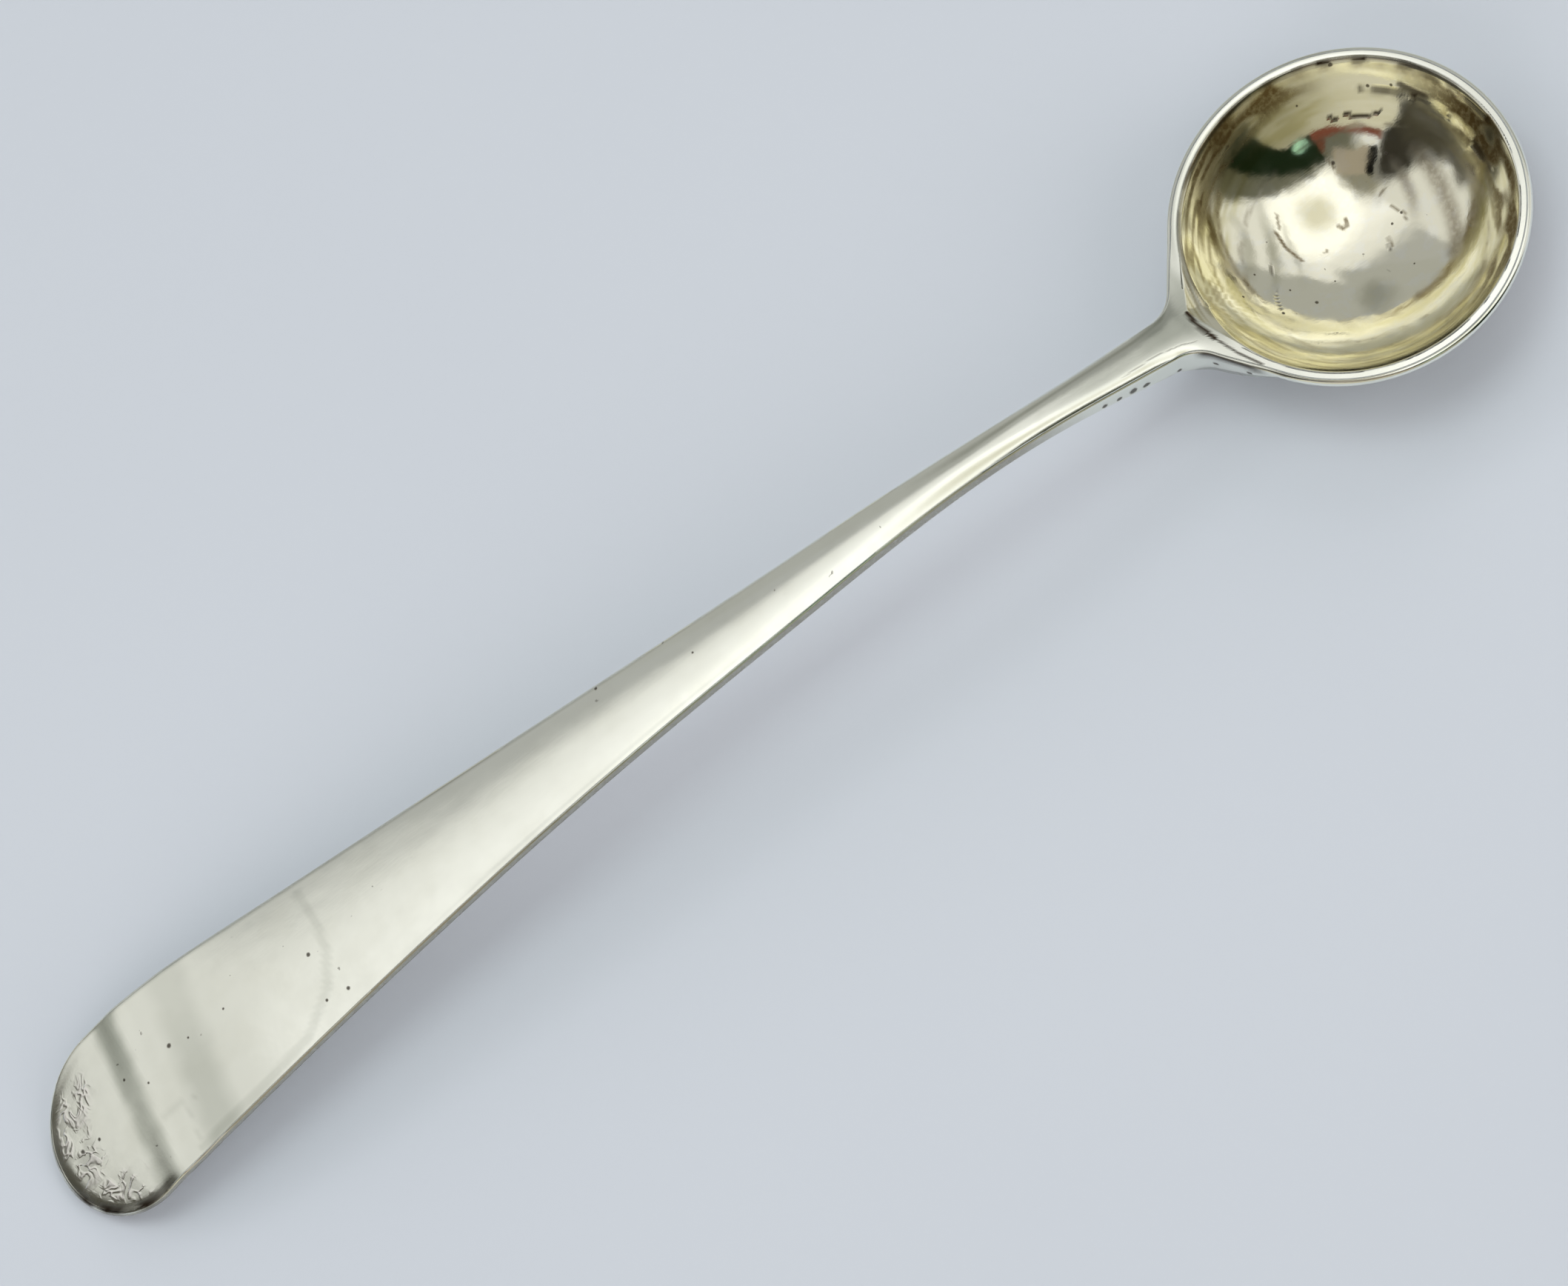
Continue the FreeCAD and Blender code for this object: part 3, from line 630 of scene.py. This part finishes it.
# Specks of dirt in the surface, where the photograph shows them: distance back, y and radius.
SPECKS = [
    (71.66, -0.01, 0.16), (70.73, -3.11, 0.15), (72.14, -2.89, 0.11), (77.56, 0.67, 0.1),
    (80.23, 0.68, 0.11), (81.48, 1.12, 0.19), (84.95, 1.46, 0.12), (83.71, 0.23, 0.1),
    (88.25, -0.06, 0.15), (89.6, 0.17, 0.2), (43.99, 0.31, 0.1), (49.65, 2.18, 0.12),
    (-5.61, 6.38, 0.14), (-6.63, 5.52, 0.13), (-4.51, 8.22, 0.2), (-1.81, 8.08, 0.1),
    (-3.13, 0.4, 0.12), (-2.37, 0.25, 0.1), (5.76, 1.92, 0.1), (7.12, 0.82, 0.11),
    (3.84, -1.25, 0.14), (4.62, 0.22, 0.09), (5.8, -1.01, 0.12), (3.0, 7.63, 0.12),
    (-1.75, 4.98, 0.16), (-4.4, 3.47, 0.14), (-1.9, -2.66, 0.08), (2.2, -0.6, 0.08),
]
# Specks in the narrow near side of the neck: distance back, height and radius.
SIDE_SPECKS = [
    (15.5, 6.7, 0.34), (14.7, 6.4, 0.3), (13.3, 5.45, 0.22), (12.65, 5.6, 0.22),
    (10.8, 5.5, 0.23), (9.65, 5.65, 0.25), (17.3, 7.1, 0.26), (16.4, 6.8, 0.22),
]

# Colours of the metal, clean and dirty, with the grey of painted reflections and a painted highlight.
SILVER, CLOUDY_SILVER = (0.935, 0.945, 0.86), (0.845, 0.85, 0.755)
GILT, THIN_GILT = (0.93, 0.905, 0.75), (0.925, 0.92, 0.83)
OCHRE = (0.69, 0.65, 0.4)
REFLECTION_GREY = (0.42, 0.44, 0.38)
BROWN = (0.16, 0.11, 0.045)
DIRT = (0.045, 0.03, 0.018)
# the rubbed colour of the worn tip, and the painted highlight on its ridges
WORN_GREY, RIDGE_HIGHLIGHT = (0.7, 0.69, 0.63), (0.99, 0.96, 0.92)


def silver_material():
    """Old silver: hand-polished, finely scratched, gilt in the bowl, tarnished where no cloth reaches."""
    material = bpy.data.materials.new("silver")
    material.use_nodes = True
    tree = Tree(material.node_tree)
    shader = tree.nodes["Principled BSDF"]
    where = tree.add("ShaderNodeTexCoord").outputs["Object"]
    stretched = tree.add("ShaderNodeMapping")
    tree.put(stretched.inputs["Vector"], where)
    stretched.inputs["Scale"].default_value = (0.05, 1, 1)
    lengthwise = stretched.outputs[0]
    gilt = tree.attribute("gilt")
    cloud = tree.ramp(tree.noise(where, 380, 4), 0.42, 0.7)
    grain = tree.noise(where, 2600, 3, 0.6)
    thin = tree.ramp(tree.noise(where, 900, 4, 0.6), 0.5, 0.62)
    plain = tree.mix(tree.math("MULTIPLY", cloud, 0.35), SILVER, CLOUDY_SILVER)
    gold = tree.mix(tree.math("MULTIPLY", thin, 0.6), GILT, THIN_GILT)
    colour = tree.mix(gilt, plain, gold)
    colour = tree.mix(tree.attribute("ochre"), colour, OCHRE)
    # grey bands and lines of painted reflection
    colour = tree.mix(tree.attribute("grey_reflection"), colour, REFLECTION_GREY)
    tarnish = tree.attribute("tarnish")
    mottle = tree.ramp(tree.noise(where, 3200, 3, 0.6), 0.3, 0.6, 0.75, 1.0)
    tarnish = tree.math("MULTIPLY", tarnish, mottle)
    colour = tree.mix(tarnish, colour, BROWN)
    wobble = tree.math("MULTIPLY", tree.math("SUBTRACT", grain, 0.5), 0.9)
    nearest = None
    spots = [(back, y, float(top_height(back, y)), radius) for back, y, radius in SPECKS]
    spots += [(back, -float(half_width(back)), z, radius) for back, z, radius in SIDE_SPECKS]
    for back, y, z, radius in spots:
        gap = tree.vector("DISTANCE", where, ((BOWL_X - back) * MM, y * MM, z * MM))
        gap = tree.math("DIVIDE", gap, radius * MM)
        nearest = gap if nearest is None else tree.math("MINIMUM", nearest, gap)
    speck = tree.ramp(tree.math("ADD", nearest, wobble), 1.0, 0.45)
    pits = tree.ramp(tree.noise(where, 1900, 2, 0.5), 0.75, 0.78, 0.0, 0.5)
    dirt = tree.math("MAXIMUM", tree.attribute("dirt"), tree.math("MULTIPLY", speck, 0.85))
    dirt = tree.math("MAXIMUM", dirt, pits)
    colour = tree.mix(dirt, colour, DIRT)
    worn = tree.attribute("worn")
    squiggle = tree.noise(where, 1150, 1, 0.4, 0.8)
    ridge = tree.ramp(tree.math("ABSOLUTE", tree.math("SUBTRACT", squiggle, 0.5)), 0.0, 0.12, 1.0, 0.0)
    ridge = tree.math("MULTIPLY", ridge, worn)
    colour = tree.mix(tree.math("MULTIPLY", worn, 0.15), colour, WORN_GREY)
    # the worn ridges are painted lighter: a painted highlight
    colour = tree.mix(tree.math("MULTIPLY", ridge, 0.9), colour, RIDGE_HIGHLIGHT)
    tree.links.new(colour, shader.inputs["Base Color"])
    shader.inputs["Metallic"].default_value = 1
    rough = tree.math("ADD", tree.ramp(tree.noise(where, 700, 4), 0.3, 0.7, 0.1, 0.17),
                      tree.math("MULTIPLY", tree.math("MAXIMUM", tarnish, dirt), 0.3))
    rough = tree.math("SUBTRACT", rough, tree.math("MULTIPLY", gilt, 0.05))
    tree.links.new(tree.math("ADD", rough, tree.math("MULTIPLY", worn, 0.1)), shader.inputs["Roughness"])
    hairlines = tree.noise(lengthwise, 9000, 2, 0.7)
    height = tree.math("MULTIPLY", hairlines, 0.0012)
    height = tree.math("ADD", height, tree.math("MULTIPLY", tree.noise(where, 1300, 4, 0.55), 0.004))
    height = tree.math("ADD", height, tree.math("MULTIPLY", ridge, 0.019))
    height = tree.math("SUBTRACT", height, tree.math("MULTIPLY", tree.attribute("dirt"), 0.02))
    bump = tree.add("ShaderNodeBump")
    bump.inputs["Strength"].default_value = 1
    bump.inputs["Distance"].default_value = MM
    tree.links.new(height, bump.inputs["Height"])
    tree.links.new(bump.outputs[0], shader.inputs["Normal"])
    return material


mesh.materials.append(silver_material())


def table():
    """A plain pale table, faintly uneven like card."""
    floor_mesh = bpy.data.meshes.new("table")
    floor_mesh.from_pydata([(-2, -2, 0), (2, -2, 0), (2, 2, 0), (-2, 2, 0)], [], [(0, 1, 2, 3)])
    floor = bpy.data.objects.new("table", floor_mesh)
    bpy.context.collection.objects.link(floor)
    material = bpy.data.materials.new("pale_table")
    material.use_nodes = True
    tree = Tree(material.node_tree)
    shader = tree.nodes["Principled BSDF"]
    where = tree.add("ShaderNodeTexCoord").outputs["Object"]
    shade = tree.noise(where, 18, 2)
    colour = tree.mix(shade, (0.531, 0.574, 0.621), (0.555, 0.599, 0.64))
    tree.links.new(colour, shader.inputs["Base Color"])
    shader.inputs["Roughness"].default_value = 0.9
    shader.inputs["Specular IOR Level"].default_value = 0.1
    floor_mesh.materials.append(material)


table()


def studio():
    """The room that the silver mirrors: a wide pale window overhead and a darker room round it.

    The patches lie where the bowl in the photograph mirrors the room and the person who took it.
    """
    world = bpy.data.worlds.new("studio")
    world.use_nodes = True
    bpy.context.scene.world = world
    tree = Tree(world.node_tree)
    toward = tree.add("ShaderNodeTexCoord").outputs["Generated"]
    ragged = tree.add("ShaderNodeTexNoise")
    ragged.inputs["Scale"].default_value = 5
    tree.put(ragged.inputs["Vector"], toward)
    shift = tree.vector("SUBTRACT", ragged.outputs["Color"], (0.5, 0.5, 0.5))
    scaled = tree.vector("MULTIPLY", shift, (0.09, 0.09, 0.0))
    toward = tree.vector("ADD", toward, scaled)

    def side(x, y, z, low, high):
        """One in the directions that go further along the given one than the second limit."""
        return tree.ramp(tree.vector("DOT_PRODUCT", toward, (x, y, z)), low, high)

    def patch(x, y, half_long, half_wide, turn, soft):
        """One in an oval of directions seen from above, turned by degrees, with an edge as soft as given."""
        place = tree.add("ShaderNodeMapping", vector_type="TEXTURE")
        tree.put(place.inputs["Vector"], toward)
        place.inputs["Location"].default_value = (x, y, 0)
        place.inputs["Rotation"].default_value = (0, 0, math.radians(turn))
        place.inputs["Scale"].default_value = (half_long, half_wide, 1000)
        return tree.ramp(tree.vector("LENGTH", place.outputs[0]), 1 + soft, 1 - soft)

    light = tree.mix(side(0, 1, 0, 0.42, 0.62), (0.78, 0.78, 0.76), (0.42, 0.425, 0.42))

    def cover(colour, *masks):
        """Lays a colour over what is there, in the directions where all the masks are one."""
        nonlocal light
        light = tree.mix(tree.product(*masks), light, colour)

    # the far wall, a dark soft spot on it, and the window's brightest part
    wall_grey = (0.4, 0.405, 0.39)
    cover(wall_grey, side(0.7, 0.7, 0, 0.66, 0.7), side(1, 0, 0, 0.3, 0.42))
    cover(wall_grey, side(0.6, 0.8, 0, 0.5, 0.54), side(1, 0, 0, 0.45, 0.35), side(0, 0, 1, 0.86, 0.8),
          side(1, 0, 0, -0.34, -0.28))
    cover((0.26, 0.265, 0.24), patch(0.24, 0.79, 0.12, 0.1, 0, 0.8))
    cover((0.98, 0.98, 0.97), side(0, 1, 0, 0.5, 0.1), side(0, 1, 0, -0.56, -0.45), side(1, 0, 0, 0.62, 0.42),
          side(1, 0, 0, -0.44, -0.36))
    left_pane = tree.mix(side(0, 1, 0, 0.8, 0.9), (0.72, 0.72, 0.7), (0.4, 0.405, 0.4))
    cover(left_pane, side(1, 0, 0, -0.36, -0.44))
    cover((1.2, 1.2, 1.17), patch(0.25, -0.18, 0.44, 0.42, 0, 0.2))
    cover((0.76, 0.74, 0.62), patch(0.24, -0.2, 0.17, 0.17, 0, 0.8))
    for x, y, wide, long, depth in ((0.62, 0.0, 0.03, 0.3, 0.45), (0.72, -0.15, 0.035, 0.3, 0.5),
                                    (0.8, 0.05, 0.03, 0.25, 0.5), (0.9, -0.1, 0.03, 0.25, 0.55)):
        streak = patch(x, y, wide, long, -12, 0.7)
        cover((0.2, 0.2, 0.15), tree.math("MULTIPLY", streak, depth))
    # the near side: grey, then the photographer's dark clothes, a pale block and the dark between the hands
    cover((0.25, 0.24, 0.19), patch(-0.34, -0.33, 0.17, 0.36, 0, 0.4))
    cover((0.035, 0.032, 0.025), patch(-0.76, -0.13, 0.3, 0.21, 12, 0.3))
    cover((0.06, 0.055, 0.04), patch(-0.95, 0.02, 0.14, 0.36, 0, 0.4))
    cover((0.13, 0.13, 0.1), side(0, 1, 0, -0.46, -0.58))
    across_block = tree.product(side(0.63, 0.776, 0, -0.66, -0.63), side(0.63, 0.776, 0, -0.4, -0.44))
    cover((0.34, 0.3, 0.24), across_block, side(-0.753, 0.659, 0, -0.18, -0.15),
          side(-0.753, 0.659, 0, 0.17, 0.15))
    cover((0.006, 0.006, 0.005), across_block, side(-0.753, 0.659, 0, 0.15, 0.17),
          side(-0.753, 0.659, 0, 0.26, 0.23))
    # a red strip and a dark green area on the near side
    cover((0.17, 0.055, 0.035), side(0, 0, 1, 0.57, 0.59), side(0, 0, 1, 0.67, 0.63),
          side(0, 1, 0, -0.3, -0.36), side(1, 0, 0, -0.13, -0.17))
    cover((0.12, 0.05, 0.03), patch(-0.19, -0.69, 0.05, 0.06, 0, 0.3))
    cover((0.01, 0.018, 0.008), side(-0.23, -0.97, 0, 0.54, 0.585), side(1, 0, 0, -0.18, -0.14),
          side(1, 0, 0, 0.8, 0.66))
    # the taupe near wall, low down, and a small mint-green light above it
    near_wall = tree.product(side(0, 0, 1, 0.6, 0.57), side(1.36, 0, 1, 0.78, 0.73),
                             side(1, 0, 0, 0.32, 0.26), side(0, 0, 1, -0.02, 0.08),
                             side(0, 1, 0, -0.3, -0.36))
    cover(tree.mix(side(1, 0, 0, -0.75, 0.1), (0.62, 0.6, 0.5), (0.36, 0.345, 0.26)), near_wall)
    cover((0.42, 0.72, 0.52), patch(0.0, -0.775, 0.085, 0.026, 0, 0.2))
    # close to the table the room is dim on the left
    cover((0.16, 0.155, 0.13), side(0, 0, 1, 0.3, 0.1), side(1, 0, 0, 0.0, -0.4), side(0, 1, 0, -0.4, -0.2))
    cover((0.09, 0.085, 0.07), side(-1, 0, 0, 0.7, 0.84), side(0, 0, 1, 0.42, 0.3), side(0, 1, 0, 0.7, 0.5),
          side(0, 1, 0, -0.3, -0.1))
    background = tree.nodes["Background"]
    tree.links.new(light, background.inputs["Color"])
    background.inputs["Strength"].default_value = 1
    world.cycles_visibility.diffuse = False


# The lamps that light the table: their power in watts and their tints.
WINDOW_POWER = 0.45
SKY_POWER = 2.5
FAR_FILL_POWER = 0.7
NEAR_FILL_POWER = 1.2
FILL_DISTANCE = 0.5
COOL = (0.965, 1.008, 1.0)
WARM = (1.06, 0.985, 1.0)


def add_lamp(name, location, size, power, colour):
    """A square lamp turned to the spoon. The silver mirrors the window in the room in its place."""
    data = bpy.data.lights.new(name, "AREA")
    data.size = size
    data.energy = power
    data.color = colour
    lamp = bpy.data.objects.new(name, data)
    lamp.location = location
    lamp.rotation_euler = (-lamp.location).to_track_quat("-Z", "Y").to_euler()
    lamp.visible_glossy = False
    bpy.context.collection.objects.link(lamp)


def lamps():
    """The window's own light on the table, and four low lamps round it that soften the shadow."""
    add_lamp("window_light", (0.0, 0.05, 0.5), 0.2, WINDOW_POWER, COOL)
    add_lamp("sky_light", (0.0, 0.05, 0.6), 0.9, SKY_POWER, COOL)
    for number in range(4):
        turn = math.radians(45 + 90 * number)
        power = FAR_FILL_POWER if math.sin(turn) > 0 else NEAR_FILL_POWER
        place = (FILL_DISTANCE * math.cos(turn), FILL_DISTANCE * math.sin(turn), 0.35)
        add_lamp(f"fill_{number + 1}", place, 0.4, power, WARM)


studio()
lamps()

# The camera stands on the near side, 66 degrees up, turned about its own line of sight.
PHOTO_WIDTH = 2117
FOCAL_LENGTH = 6000
SENSOR_WIDTH = 36
camera_data = bpy.data.cameras.new("camera")
camera_data.lens = FOCAL_LENGTH * SENSOR_WIDTH / PHOTO_WIDTH
camera_data.clip_end = 10
camera = bpy.data.objects.new("camera", camera_data)
bpy.context.collection.objects.link(camera)
stand = Vector((9.006, -101.5, 234.551)) * MM
forward = Vector((-0.03163, 0.40189, -0.91514)).normalized()
right = Vector((0.81444, -0.52039, -0.25668)).normalized()
up = right.cross(forward).normalized()
axes = Matrix((right, up, -forward)).transposed()
camera.matrix_world = Matrix.Translation(stand) @ axes.to_4x4()
scene = bpy.context.scene
scene.camera = camera
scene.view_settings.view_transform = "Standard"
